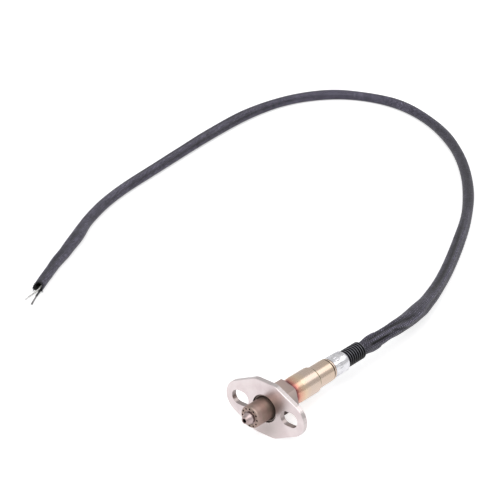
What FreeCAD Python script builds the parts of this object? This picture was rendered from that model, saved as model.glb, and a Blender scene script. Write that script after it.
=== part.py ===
import FreeCAD, Part
import math
import os

from FreeCAD import Vector

# Heated oxygen sensor with a two-slot mounting flange, in millimetres.
# +X runs along the sensor axis towards the gas end, +Y along the flange's two slots, +Z up.
# The origin is on the axis, in the flange's front (gasket) face. Positions along X are
# measured from there, so everything behind the flange has a negative X.

# ---- driving dimensions ----------------------------------------------------------------

slip = 0.05                     # radial play between turned parts that slide together
sheet = 0.5                     # sheet steel of the tubes and the crimp sleeve

flange_thickness = 4.0
flange_half_width = 20.5        # axis to the flat edges; the sensor stands on one of them
slot_spacing = 42.5
slot_length = 14.6
slot_width = 10.8
lobe_radius = 12.8              # round ends, concentric with the slots
flange_side_angle = 26.0        # slope of the four straight sides, in degrees
flange_corner_radius = 10.0
flange_edge_round = 0.5

hex_across_flats = 22.0
hex_length = 18.2
hex_turn = 45.0                 # where a corner of the hexagon points, from +Y towards +Z
hex_chamfer = 1.1
spigot_radius = 10.2            # seats in the flange's centre hole
spigot_recess = 3.0             # depth of the spigot's face below the flange's front face
lip_outer_radius = 9.7          # lip swaged in over the rims of both protection tubes
lip_thickness = 0.5
lip_recess = 1.0
lip_gap = 0.6                   # room between the swaged lip and the outer tube
lip_outer_round = 0.6
lip_inner_round = 0.45
rim_depth = 4.6                 # depth of the front rim's face below the flange's front face
collar_radius = 8.6             # rear collar, under the protective sleeve
collar_length = 7.6
throat_radius = 5.0             # in front of the thimble's gasket
shank_gap = 0.6                 # room round the thimble's shank at the rear
housing_rear_lip = 1.2
lip_overlap = 0.6               # how far the rear lip is swaged in over the compression ring

outer_tube_radius = 8.0
outer_tube_reach = 15.0         # end plane of the outer tube
outer_tube_round = 1.5
outer_tube_flare = 0.2          # the drawn tube widens by this towards its rim
outer_tube_flare_depth = 0.3    # depth below the flange's front face where that starts
gas_hole_count = 12
gas_hole_radius = 0.65
gas_hole_circle = 6.35
inner_tube_radius = 5.3
nose_base_radius = 4.2
nose_tip_radius = 2.5
nose_reach = 5.4                # nose beyond the outer tube's end plane
nose_step = 1.2                 # straight foot of the nose
nose_groove = 0.7               # ring-shaped gap between the nose's foot and the outer tube's end
nose_hole_radius = 1.6
inner_hole_count = 6
inner_hole_radius = 0.9
inner_hole_place = 3.0
rim_bend = 0.3                  # bend between a protection tube and its rim
nose_foot_bend = 0.4
nose_tip_bend = 0.6

shank_radius = 4.2              # zirconia thimble, rear half
thimble_tip_radius = 3.3
thimble_reach = 11.0
thimble_bore_radius = 2.4
thimble_tip_round = 2.6
thimble_bore_end = 1.2          # ceramic left in front of the bore
thimble_bore_round = 1.7
thimble_collar_radius = 6.0
thimble_collar_length = 3.4
thimble_rear = 1.0              # how far the thimble stands out behind the housing
front_seat_depth = 9.0          # seat of the thimble's gasket behind the flange face
gasket_thickness = 0.6
talc_length = 6.4
bush_length = 6.8
compression_ring_length = 1.0

heater_radius = 1.6
heater_gap = 1.0                # heater tip to the end of the thimble's bore
heater_tail_gap = 4.3           # heater's rear end to the floor of the contact holder

signal_plug_length = 8.0        # spring tube in the thimble's bore
signal_cap_thickness = 0.5

weld_skirt_gap = 0.7            # groove between hexagon and protective sleeve
weld_skirt_length = 4.5         # straight front end of the sleeve, welded round the collar
sleeve_wall = 0.55
sleeve_radius = 9.75
sleeve_step_x = 49.2            # step from the wide to the narrow part of the sleeve
sleeve_step_length = 0.7
sleeve_rear_radius = 8.35
sleeve_end_x = 66.4
sleeve_swell_length = 5.5       # slope from the welded part up to the wide part
sleeve_bend = 0.7               # outside radius of the sleeve's formed bends
sleeve_inner_bend = 0.3
sleeve_end_round = 0.4          # rear edge, turned in

spring_thickness = 0.7
spring_height = 2.0
spring_land = 1.0               # flat width at either rim of the conical spring
holder_cavity_radius = 4.7
holder_rear_wall = 9.0
holder_front_taper = 0.9
holder_shoulder_round = 0.6
holder_rear_x = 60.5
terminal_circle = 3.0
terminal_strip_width = 2.0
terminal_strip_thickness = 0.4
terminal_grip = 6.0             # length of a heater terminal along the heater rod
terminal_rise = 1.0             # straight ends of a strip beside its slope
signal_slope = 3.0
strip_overlap = 0.2             # how far a strip runs into its barrel or cap
barrel_length = 5.0
barrel_wall = 0.35
barrel_inset = 2.5              # barrel's front end behind the floor of the contact holder

crimp_sleeve_end_x = 83.9
crimp_flat_count = 8
crimp_start_x = 71.5
crimp_length = 6.0
crimp_depth = 0.45
bead_gap = 0.9                  # groove between the protective sleeve and the crimp sleeve's bead
bead_width = 1.5
bead_height = 0.55
bead_round = 0.25
grommet_end_x = 79.9

boot_end_x = 104.7
boot_rib_radius = 6.55
boot_rib_depth = 0.8
boot_rib_count = 9
boot_rib_land = 0.95            # width of a rib's top
boot_rib_round = 0.2

wire_radius = 0.9
wire_core_radius = 0.55         # bare tinned strands
wire_angles = (90.0, 210.0, 330.0)

lead_radius = 4.6
lead_start_x = 86.0

# Route of the lead's centre line, from inside the boot to the open end of the sleeve.
# It drops from the level sensor to the surface that the flange's flat edge stands on.
lead_rest = lead_radius - flange_half_width
lead_points = [
    (-lead_start_x, 0, 0),
    (-134, 0, 0),
    (-184, -8, -6),
    (-246, -30, -13.5),
    (-312, -57, lead_rest),
    (-378, -90, lead_rest),
    (-441, -134, lead_rest),
    (-496, -184, lead_rest),
    (-534, -239, lead_rest),
    (-552, -296, lead_rest),
    (-537, -348, lead_rest),
    (-493, -379, lead_rest),
    (-436, -387, lead_rest),
    (-362, -378, lead_rest),
    (-286, -365.5, lead_rest),
    (-208, -348, lead_rest),
    (-151, -326, lead_rest),
    (-98, -299, lead_rest),
    (-45, -269, lead_rest),
]

# Wire ends at the open mouth: sideways and upward offset from the lead's centre at the
# mouth, at the end of the insulation and at the tip of the bare strands, with the
# distance ahead of the mouth.
wire_ends = {
    "signal_wire": [(0.0, 2.4, -0.3), (11.5, 0.9, -1.3), (24.0, -1.3, -3.2)],
    "heater_wire_1": [(0.0, -0.4, -2.55), (9.5, -2.6, -2.7), (17.0, -7.6, -3.3)],
    "heater_wire_2": [(0.0, 1.9, -2.3), (9.0, 0.2, -3.3), (15.5, -3.6, -3.8)],
}

# ---- places that follow from the sizes above --------------------------------------------

axis = Vector(1, 0, 0)
hex_front = -flange_thickness
hex_rear = hex_front - hex_length
collar_rear = hex_rear - collar_length
rim_front = -rim_depth
rim_radius = lip_outer_radius - lip_thickness - slip
rim_rear = rim_front - 2 * sheet
seat_x = -front_seat_depth
thimble_seat = seat_x - gasket_thickness
talc_front = thimble_seat - thimble_collar_length
bush_front = talc_front - talc_length
ring_front = bush_front - bush_length
ring_rear = ring_front - compression_ring_length
packing_radius = thimble_collar_radius + slip
thimble_end = collar_rear - thimble_rear
thimble_bore_front = thimble_reach - thimble_bore_end
heater_front = thimble_bore_front - heater_gap
weld_skirt_radius = collar_radius + slip + sleeve_wall
sleeve_front = hex_rear - weld_skirt_gap
skirt_rear = sleeve_front - weld_skirt_length
swell_end = skirt_rear - sleeve_swell_length
sleeve_step = -sleeve_step_x
sleeve_end = -sleeve_end_x
holder_front = collar_rear - spring_height
holder_rear = -holder_rear_x
holder_floor = holder_rear + holder_rear_wall
heater_rear = holder_floor + heater_tail_gap
holder_wide_radius = sleeve_radius - sleeve_wall - slip
holder_narrow_radius = sleeve_rear_radius - sleeve_wall - slip
barrel_front = holder_floor - barrel_inset
barrel_radius = wire_radius + slip + barrel_wall
barrel_strip = terminal_circle - terminal_strip_thickness
crimp_sleeve_radius = sleeve_rear_radius - sleeve_wall - slip
crimp_end = -crimp_sleeve_end_x
grommet_radius = crimp_sleeve_radius - sheet - slip
grommet_end = -grommet_end_x
boot_end = -boot_end_x
lead_start = -lead_start_x

parts = {}


# ---- helpers ----------------------------------------------------------------------------

def outline(corners, lift=None):
    """Closed wire through corners (u, v) or (u, v, radius), each radius as a tangent arc."""
    lift = lift or (lambda u, v: Vector(u, v, 0))
    edges = []
    joints = []
    for i, corner in enumerate(corners):
        here = Vector(corner[0], corner[1], 0)
        before = Vector(*corners[i - 1][:2], 0) - here
        after = Vector(*corners[(i + 1) % len(corners)][:2], 0) - here
        radius = corner[2] if len(corner) > 2 else 0
        if not radius:
            joints.append((here, here, here))
            continue
        before.normalize()
        after.normalize()
        half = before.getAngle(after) / 2
        reach = radius / math.tan(half)
        centre_way = (before + after).normalize()
        middle = here + centre_way * (radius / math.sin(half) - radius)
        joints.append((here + before * reach, middle, here + after * reach))
    for i, (start, middle, end) in enumerate(joints):
        following = joints[(i + 1) % len(joints)][0]
        if start != end:
            edges.append(Part.Arc(lift(*start[:2]), lift(*middle[:2]), lift(*end[:2])).toShape())
        if (following - end).Length > 1e-6:
            edges.append(Part.LineSegment(lift(*end[:2]), lift(*following[:2])).toShape())
    return Part.Wire(edges)


def lathe(corners):
    """Solid turned about the sensor axis from a closed profile of (x, r) corners."""
    return Part.Face(outline(corners)).revolve(Vector(), axis, 360)


def ring(front, rear, inner, outer):
    """Plain turned ring or, with no inner radius, a plain disc."""
    return lathe([(front, inner), (front, outer), (rear, outer), (rear, inner)])


def bore(radius, front, rear, circle=0, angle=0):
    """Cylinder along the axis, from front back to rear, at an angle on a circle."""
    turn = math.radians(angle)
    foot = Vector(rear, circle * math.cos(turn), circle * math.sin(turn))
    return Part.makeCylinder(radius, front - rear, foot, axis)


def round_axis(shape, angle):
    """Copy of a shape turned about the sensor axis."""
    turned = shape.copy()
    turned.rotate(Vector(), axis, angle)
    return turned


def hex_prism(across_flats, front, rear, sides=6, turn=0):
    """Regular prism along the axis with one corner at the given turn from +Y."""
    radius = across_flats / 2 / math.cos(math.pi / sides)
    corners = []
    for i in range(sides + 1):
        angle = math.radians(turn + 360 * i / sides)
        corners.append(Vector(rear, radius * math.cos(angle), radius * math.sin(angle)))
    return Part.Face(Part.makePolygon(corners)).extrude(Vector(front - rear, 0, 0))


def bent_path(points):
    """Straight runs joined by tangent arcs, as large as the shorter run beside each allows."""
    points = [Vector(*point) for point in points]
    edges = []
    radii = []
    start = points[0]
    for before, corner, after in zip(points, points[1:], points[2:]):
        back = (before - corner)
        ahead = (after - corner)
        reach = 0.45 * min(back.Length, ahead.Length)
        back.normalize()
        ahead.normalize()
        half = back.getAngle(ahead) / 2
        radius = reach * math.tan(half)
        middle = corner + (back + ahead).normalize() * (radius / math.sin(half) - radius)
        entry = corner + back * reach
        leave = corner + ahead * reach
        edges.append(Part.LineSegment(start, entry).toShape())
        edges.append(Part.Arc(entry, middle, leave).toShape())
        radii.append(radius)
        start = leave
    edges.append(Part.LineSegment(start, points[-1]).toShape())
    return Part.Wire(edges), radii


def round_bar(points, radius):
    """Round solid along a bent path."""
    path, radii = bent_path(points)
    start = path.Edges[0].firstVertex().Point
    heading = path.Edges[0].tangentAt(path.Edges[0].FirstParameter)
    section = Part.Wire(Part.makeCircle(radius, start, heading))
    solid = path.makePipeShell([section], True, False)
    return solid, path.Length, radii


# ---- flange and housing -------------------------------------------------------------------

def make_flange():
    slope = math.radians(flange_side_angle)
    end_corner = slot_spacing / 2 + lobe_radius / math.sin(slope)
    flat_corner = end_corner - flange_half_width / math.tan(slope)
    corners = [
        (end_corner, 0, lobe_radius),
        (flat_corner, flange_half_width, flange_corner_radius),
        (-flat_corner, flange_half_width, flange_corner_radius),
        (-end_corner, 0, lobe_radius),
        (-flat_corner, -flange_half_width, flange_corner_radius),
        (flat_corner, -flange_half_width, flange_corner_radius),
    ]
    on_back = lambda u, v: Vector(-flange_thickness, u, v)
    through = Vector(flange_thickness, 0, 0)
    plate = Part.Face(outline(corners, on_back)).extrude(through)
    rims = [edge for edge in plate.Edges if abs(edge.BoundBox.XLength) < 1e-6]
    plate = plate.makeFillet(flange_edge_round, rims)
    half_run = (slot_length - slot_width) / 2
    for side in (-1, 1):
        middle = side * slot_spacing / 2
        slot = bore(slot_width / 2, 0, -flange_thickness)
        near = slot.translated(Vector(0, middle - half_run, 0))
        far = slot.translated(Vector(0, middle + half_run, 0))
        corner = Vector(-flange_thickness, middle - half_run, -slot_width / 2)
        web = Part.makeBox(flange_thickness, 2 * half_run, slot_width, corner)
        plate = plate.cut(near.fuse([far, web]).removeSplitter())
    parts["flange"] = plate.cut(bore(spigot_radius + slip, 0, -flange_thickness))


def make_housing():
    hexagon = hex_prism(hex_across_flats, hex_front, hex_rear, turn=hex_turn)
    corner_radius = hex_across_flats / math.sqrt(3)
    chamfer_run = hex_chamfer * math.tan(math.radians(30))
    turned = lathe([
        (hex_front, 0), (hex_front, corner_radius - hex_chamfer),
        (hex_front - chamfer_run, corner_radius), (hex_rear + chamfer_run, corner_radius),
        (hex_rear, corner_radius - hex_chamfer), (hex_rear, 0),
    ])
    spigot = ring(-spigot_recess, hex_front, 0, spigot_radius)
    lip = lathe([(-lip_recess, 0), (-lip_recess, lip_outer_radius, lip_outer_round),
                 (hex_front, lip_outer_radius), (hex_front, 0)])
    collar = ring(hex_rear, collar_rear, 0, collar_radius)
    body = hexagon.common(turned).fuse([spigot, lip, collar]).removeSplitter()
    rear_radius = shank_radius + shank_gap
    lip_radius = outer_tube_radius + lip_gap
    hollow = lathe([
        (-lip_recess, 0), (-lip_recess, lip_radius + lip_inner_round),
        (-lip_recess - lip_inner_round, lip_radius), (rim_front, lip_radius),
        (rim_front, rim_radius + slip), (rim_rear, rim_radius + slip),
        (rim_rear, throat_radius), (seat_x, throat_radius),
        (seat_x, packing_radius), (ring_rear, packing_radius),
        (ring_rear, packing_radius - lip_overlap),
        (ring_rear - housing_rear_lip, packing_radius - lip_overlap),
        (ring_rear - housing_rear_lip, rear_radius), (collar_rear, rear_radius), (collar_rear, 0),
    ])
    parts["sensor_housing"] = body.cut(hollow)


# ---- protection tubes ---------------------------------------------------------------------

def make_protection_tubes():
    end = outer_tube_reach
    opening = nose_base_radius + nose_groove
    radius = outer_tube_radius
    outer = lathe([
        (rim_front, radius - sheet), (rim_front - sheet, radius - sheet),
        (rim_front - sheet, rim_radius), (rim_front, rim_radius),
        (rim_front, radius + outer_tube_flare, rim_bend), (-outer_tube_flare_depth, radius),
        (end, radius, outer_tube_round), (end, opening),
        (end - sheet, opening), (end - sheet, radius - sheet, outer_tube_round - sheet),
    ])
    hole = bore(gas_hole_radius, end + 1, end - outer_tube_round - 1, gas_hole_circle)
    step = 360 / gas_hole_count
    parts["outer_protection_tube"] = outer.cut([round_axis(hole, i * step)
                                                for i in range(gas_hole_count)])

    shoulder = end - sheet
    tip = end + nose_reach
    foot = end + nose_step
    front = rim_front - sheet
    base = nose_base_radius
    inner = lathe([
        (front, inner_tube_radius - sheet), (front - sheet, inner_tube_radius - sheet),
        (front - sheet, rim_radius), (front, rim_radius), (front, inner_tube_radius, rim_bend),
        (shoulder, inner_tube_radius), (shoulder, base), (foot, base, nose_foot_bend),
        (tip, nose_tip_radius, nose_tip_bend), (tip, nose_hole_radius),
        (tip - sheet, nose_hole_radius), (foot - sheet / 2, base - sheet),
        (shoulder - sheet, base - sheet), (shoulder - sheet, inner_tube_radius - sheet),
    ])
    side_hole = Part.makeCylinder(inner_hole_radius, 2 * inner_tube_radius,
                                  Vector(inner_hole_place, 0, 0), Vector(0, 0, 1))
    step = 360 / inner_hole_count
    parts["inner_protection_tube"] = inner.cut([round_axis(side_hole, i * step)
                                                for i in range(inner_hole_count)])


# ---- sensing element, seals and packing -----------------------------------------------------

def make_element():
    collar_front = thimble_seat
    collar_back = collar_front - thimble_collar_length
    body = lathe([
        (thimble_reach, 0), (thimble_reach, thimble_tip_radius, thimble_tip_round),
        (collar_front, shank_radius), (collar_front, thimble_collar_radius),
        (collar_back, thimble_collar_radius), (collar_back, shank_radius),
        (thimble_end, shank_radius), (thimble_end, thimble_bore_radius),
        (thimble_bore_front, thimble_bore_radius, thimble_bore_round),
        (thimble_bore_front, 0),
    ])
    parts["zirconia_thimble"] = body
    inner = shank_radius + slip
    parts["front_gasket"] = ring(seat_x, thimble_seat, throat_radius, packing_radius)
    parts["talc_packing"] = ring(talc_front, bush_front, inner, packing_radius)
    parts["ceramic_bush"] = ring(bush_front, ring_front, inner, packing_radius)
    parts["compression_ring"] = ring(ring_front, ring_rear, inner, packing_radius)
    parts["heater_rod"] = ring(heater_front, heater_rear, 0, heater_radius)


# ---- contacts -------------------------------------------------------------------------------

def terminal_barrel(angle):
    """Crimp barrel that grips a wire's front end, on the terminal circle."""
    rear = barrel_front - barrel_length
    tube = bore(barrel_radius, barrel_front, rear, terminal_circle, angle)
    return tube.cut(bore(wire_radius + slip, barrel_front - barrel_wall, rear,
                         terminal_circle, angle))


def contact_strip(profile, angle):
    """Bent strip: a profile of (x, r) points, thick outwards, wide across the axis."""
    thickness = terminal_strip_thickness
    outer = [(x, r + thickness) for x, r in reversed(profile)]
    half = terminal_strip_width / 2
    upright = lambda x, r: Vector(x, -half, r)
    strip = Part.Face(outline(profile + outer, upright)).extrude(Vector(0, 2 * half, 0))
    return round_axis(strip, angle - 90)


def make_contacts():
    signal_angle, *heater_angles = wire_angles
    for number, angle in enumerate(heater_angles, 1):
        grip_front = heater_rear + terminal_grip
        blade = contact_strip([
            (grip_front, heater_radius), (heater_rear - terminal_rise, heater_radius),
            (barrel_front + terminal_rise, barrel_strip), (barrel_front - strip_overlap, barrel_strip),
        ], angle)
        parts[f"heater_terminal_{number}"] = blade.fuse(terminal_barrel(angle)).removeSplitter()

    plug_front = thimble_end + signal_plug_length
    plug = ring(plug_front, thimble_end, heater_radius + slip, thimble_bore_radius - slip)
    cap_rear = thimble_end - signal_cap_thickness
    cap = ring(thimble_end, cap_rear, heater_radius + slip, shank_radius)
    reach = shank_radius - terminal_strip_thickness
    strip = contact_strip([
        (cap_rear + strip_overlap, reach), (barrel_front + terminal_rise + signal_slope, reach),
        (barrel_front + terminal_rise, barrel_strip), (barrel_front - strip_overlap, barrel_strip),
    ], signal_angle)
    parts["signal_contact"] = plug.fuse([cap, strip, terminal_barrel(signal_angle)]).removeSplitter()


def make_holder():
    spring_outer = collar_radius
    inner = holder_cavity_radius + slip
    parts["disc_spring"] = lathe([
        (collar_rear, spring_outer), (collar_rear, spring_outer - spring_land),
        (holder_front + spring_thickness, inner), (holder_front, inner),
        (holder_front, inner + spring_land), (collar_rear - spring_thickness, spring_outer),
    ])
    shoulder = sleeve_step + sleeve_wall
    holder = lathe([
        (holder_front, holder_cavity_radius), (holder_front, holder_wide_radius - holder_front_taper),
        (swell_end - holder_front_taper, holder_wide_radius),
        (shoulder, holder_wide_radius, holder_shoulder_round),
        (shoulder, holder_narrow_radius), (holder_rear, holder_narrow_radius),
        (holder_rear, 0), (holder_floor, 0), (holder_floor, holder_cavity_radius),
    ])
    bores = [bore(barrel_radius + slip, holder_front, holder_rear, terminal_circle, angle)
             for angle in wire_angles]
    parts["contact_holder"] = holder.cut(bores)


# ---- sleeves, grommet and boot ----------------------------------------------------------------

def crimp_tool(radius):
    """What an eight-jaw crimp leaves of a round of this radius, over the crimped length."""
    rear = -crimp_start_x - crimp_length
    blank = ring(-crimp_start_x, rear, 0, radius + 1)
    kept = hex_prism(2 * (radius - crimp_depth), -crimp_start_x, rear, crimp_flat_count)
    return blank.cut(kept)


def make_sleeves():
    wide = sleeve_radius
    narrow = sleeve_rear_radius
    skirt = weld_skirt_radius
    wall = sleeve_wall
    step_end = sleeve_step - sleeve_step_length
    parts["protective_sleeve"] = lathe([
        (sleeve_front, skirt - wall), (sleeve_front, skirt), (skirt_rear, skirt, sleeve_bend),
        (swell_end, wide, sleeve_bend), (sleeve_step, wide, sleeve_bend),
        (step_end, narrow, sleeve_inner_bend), (sleeve_end, narrow, sleeve_end_round),
        (sleeve_end, narrow - wall),
        (step_end + wall, narrow - wall, sleeve_inner_bend),
        (sleeve_step + wall, wide - wall, sleeve_inner_bend),
        (swell_end, wide - wall, sleeve_inner_bend), (skirt_rear, skirt - wall, sleeve_inner_bend),
    ])
    front = holder_rear
    round_sleeve = ring(front, crimp_end, grommet_radius + slip, crimp_sleeve_radius)
    inner_radius = crimp_sleeve_radius - sheet
    core = ring(-crimp_start_x, -crimp_start_x - crimp_length, 0, crimp_sleeve_radius)
    pressed = core.cut(crimp_tool(crimp_sleeve_radius))
    pressed = pressed.cut(ring(-crimp_start_x, -crimp_start_x - crimp_length, 0,
                               inner_radius).cut(crimp_tool(inner_radius)))
    zone = ring(-crimp_start_x, -crimp_start_x - crimp_length, 0, crimp_sleeve_radius + 1)
    bead_front = sleeve_end - bead_gap
    bead_rear = bead_front - bead_width
    bead_radius = crimp_sleeve_radius + bead_height
    bead = lathe([
        (bead_front, inner_radius), (bead_front, bead_radius, bead_round),
        (bead_rear, bead_radius, bead_round), (bead_rear, inner_radius),
    ])
    parts["crimp_sleeve"] = round_sleeve.cut(zone).fuse([pressed, bead]).removeSplitter()


def make_grommet_and_boot():
    tip = holder_rear
    plain = ring(tip, grommet_end, 0, grommet_radius)
    grommet = plain.cut(crimp_tool(grommet_radius))
    holes = [bore(wire_radius + slip, tip, grommet_end, terminal_circle, angle)
             for angle in wire_angles]
    parts["cable_grommet"] = grommet.cut(holes)

    pitch = (boot_end_x - crimp_sleeve_end_x) / boot_rib_count
    root = boot_rib_radius - boot_rib_depth
    flank = (pitch - boot_rib_land) / 3
    bore_radius = lead_radius + slip
    profile = [(grommet_end, bore_radius), (grommet_end, grommet_radius),
               (crimp_end, grommet_radius)]
    for i in range(boot_rib_count):
        start = crimp_end - i * pitch
        profile += [
            (start, root), (start - flank, root),
            (start - 2 * flank, boot_rib_radius, boot_rib_round),
            (start - 2 * flank - boot_rib_land, boot_rib_radius, boot_rib_round),
        ]
    profile += [(boot_end, root), (boot_end, bore_radius)]
    parts["ribbed_boot"] = lathe(profile)


# ---- wires and lead -----------------------------------------------------------------------------

def make_head_wires():
    names = ("signal_wire", "heater_wire_1", "heater_wire_2")
    front = barrel_front - barrel_wall
    for name, angle in zip(names, wire_angles):
        parts[name] = bore(wire_radius, front, lead_start, terminal_circle, angle)


def make_lead():
    lead, length, radii = round_bar(lead_points, lead_radius)
    parts["braided_lead"] = lead
    section = math.pi * lead_radius ** 2
    print("lead length %.1f mm, volume over section %.1f mm" % (length, lead.Volume / section))
    print("lead bend radii", [round(radius) for radius in radii])


def make_wire_ends():
    mouth = Vector(*lead_points[-1])
    ahead = (mouth - Vector(*lead_points[-2])).normalize()
    aside = Vector(-ahead.y, ahead.x, 0)

    def place(point):
        along, sideways, rise = point
        return mouth + ahead * along + aside * sideways + Vector(0, 0, rise)

    for name, (root, cut, tip) in wire_ends.items():
        bend = tuple((a + b) / 2 for a, b in zip(root, cut))
        straight = (bend[0], root[1], root[2])
        covered, _, _ = round_bar([place(root), place(straight), place(cut)], wire_radius)
        heading = (place(cut) - place(straight)).normalize()
        bare_points = [place(cut), place(cut) + heading * 2.5, place(tip)]
        bare, _, _ = round_bar(bare_points, wire_core_radius)
        parts[f"{name}_end"] = covered
        parts[f"{name}_strands"] = bare


make_flange()
make_housing()
make_protection_tubes()
make_element()
make_contacts()
make_holder()
make_sleeves()
make_grommet_and_boot()
make_head_wires()
make_lead()
make_wire_ends()

os.makedirs("parts", exist_ok=True)
for node, shape in parts.items():
    shape.exportStep(f"parts/{node}.step")
    print("%-24s solids %d valid %s volume %.1f" % (node, len(shape.Solids), shape.isValid(), shape.Volume))
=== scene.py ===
import math
import random

import bmesh
import bpy
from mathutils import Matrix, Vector


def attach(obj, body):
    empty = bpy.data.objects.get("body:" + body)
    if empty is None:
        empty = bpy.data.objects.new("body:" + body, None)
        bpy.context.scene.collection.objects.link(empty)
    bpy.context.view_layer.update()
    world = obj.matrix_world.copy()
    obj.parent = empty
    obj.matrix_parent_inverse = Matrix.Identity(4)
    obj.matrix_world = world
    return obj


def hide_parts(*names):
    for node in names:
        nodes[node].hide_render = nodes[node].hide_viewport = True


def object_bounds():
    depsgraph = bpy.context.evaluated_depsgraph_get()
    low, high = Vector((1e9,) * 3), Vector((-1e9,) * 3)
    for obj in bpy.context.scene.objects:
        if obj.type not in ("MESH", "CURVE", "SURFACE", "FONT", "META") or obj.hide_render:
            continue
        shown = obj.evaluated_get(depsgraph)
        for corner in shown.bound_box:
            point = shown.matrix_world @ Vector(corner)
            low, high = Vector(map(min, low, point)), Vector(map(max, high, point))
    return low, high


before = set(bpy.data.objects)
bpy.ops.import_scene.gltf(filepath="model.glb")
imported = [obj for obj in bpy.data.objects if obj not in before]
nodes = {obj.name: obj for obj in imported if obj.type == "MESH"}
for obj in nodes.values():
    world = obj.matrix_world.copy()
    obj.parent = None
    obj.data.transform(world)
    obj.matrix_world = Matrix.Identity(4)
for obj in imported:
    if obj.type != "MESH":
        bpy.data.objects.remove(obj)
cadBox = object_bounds()

# Lengths are metres in the row frame: +X to the gas end, +Y along the flange's slots, +Z up.
mm = 0.001
floorHeight = cadBox[0].z
print("frame loaded")


def linear(hexColour):  # sRGB hex to the linear colour that a socket takes
    shares = [int(hexColour[i:i + 2], 16) / 255 for i in (1, 3, 5)]
    return [s / 12.92 if s <= 0.04045 else ((s + 0.055) / 1.055) ** 2.4 for s in shares] + [1.0]


def addNode(tree, kind, inputs=None, **settings):  # a node with its settings, values and links
    node = tree.nodes.new("ShaderNode" + kind)
    for name, value in settings.items():
        setattr(node, name, value)
    for socket, value in (inputs or {}).items():
        if isinstance(value, bpy.types.Node):  # it stands for the output that its settings use
            value = next(output for output in value.outputs if output.enabled)
        if isinstance(value, bpy.types.NodeSocket):
            tree.links.new(value, node.inputs[socket])
        else:
            node.inputs[socket].default_value = linear(value) if isinstance(value, str) else value
    return node


def newMaterial(name):  # a material with an empty node tree
    material = bpy.data.materials.new(name)
    material.use_nodes = True
    material.node_tree.nodes.clear()
    return material, material.node_tree


def fillRamp(node, stops):  # (place, hex colour) from left to right
    ramp = node.color_ramp
    while len(ramp.elements) < len(stops):
        ramp.elements.new(1.0)
    for element, (place, colour) in zip(ramp.elements, stops):
        element.position = place
        element.color = linear(colour)


def finishWith(material, surface):  # the material with this surface shown
    addNode(material.node_tree, "OutputMaterial", {"Surface": surface})
    return material


def skinWith(material, colour, roughness, relief, height, strength, more=None):
    # The outer skin: colour, gloss and relief, and more of the shader's inputs.
    tree = material.node_tree
    bump = addNode(tree, "Bump", {"Strength": strength, "Distance": height, "Height": relief})
    skin = addNode(tree, "BsdfPrincipled", {"Base Color": colour, "Roughness": roughness,
                                            "Normal": bump, **(more or {})})
    return finishWith(material, skin)


def dress(piece, finish):  # one finish all over it
    piece.data.materials.clear()
    piece.data.materials.append(finish)


def finishPiece(piece, finish, slot, *replaced):  # its look and its place; the slot in the record is not used
    dress(piece, finish)
    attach(piece, "root")
    if replaced:
        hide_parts(*replaced)


# The camera looks down at the gas end, over the flange's right-hand slot.
cameraView = {
    "place": (0.74685, 0.62896, 0.59650),
    "forward": (-0.68126, -0.58520, -0.43981),
    "lens": 122.4,                # millimetres, as the sensor's width is
    "sensor": 36.0,
    "clip": (0.05, 20.0),
}


def aimed(name, data, forward):  # an object with this data that looks or shines forward
    holder = bpy.data.objects.new(name, data)
    holder.rotation_mode = "QUATERNION"
    holder.rotation_quaternion = Vector(forward).to_track_quat("-Z", "Y")
    bpy.context.scene.collection.objects.link(holder)
    return holder


def addCamera():
    data = bpy.data.cameras.new("studioCamera")
    data.lens = cameraView["lens"]
    data.sensor_width = cameraView["sensor"]
    data.clip_start, data.clip_end = cameraView["clip"]
    camera = aimed("studioCamera", data, cameraView["forward"])
    camera.location = cameraView["place"]
    bpy.context.scene.camera = camera
    bpy.context.scene.view_settings.view_transform = "Standard"


studio = {
    "floorColour": "#E4E4E5",
    "floorSize": 5.0,
    "floorMiddle": (-0.2, -0.1),
    "floorGap": 0.05 * mm,        # under the sensor, so that the two don't flicker
    "floorLift": 0.60,            # light that only a look at the floor adds, so that it reads white
    "horizon": 0.336,             # soft light of the room, from the side and from above
    "overhead": 0.384,
    "mirroredWhite": 0.43,        # share of the white background that metal picks up
    "mirroredFloor": 0.65,        # and of the floor's lift
}
lamps = {                         # power, the way that it shines, and the angle that it fills
    "keyLamp": (1.25, (-0.42, -0.34, -0.84), 60.0),
    "frontLamp": (0.40, (-0.70, -0.08, -0.71), 44.0),
    "backLamp": (0.32, (0.68, -0.34, -0.65), 35.0),
}


def directLook(tree, glossyShare):  # 1 where the eye, metal or glass looks straight at it
    path = addNode(tree, "LightPath")
    glossy = addNode(tree, "Math", {0: path.outputs["Is Glossy Ray"], 1: glossyShare},
                     operation="MULTIPLY")
    clear = addNode(tree, "Math", {0: path.outputs["Is Camera Ray"],
                                   1: path.outputs["Is Transmission Ray"]}, operation="ADD")
    return addNode(tree, "Math", {0: clear, 1: glossy}, operation="ADD", use_clamp=True)


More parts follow.
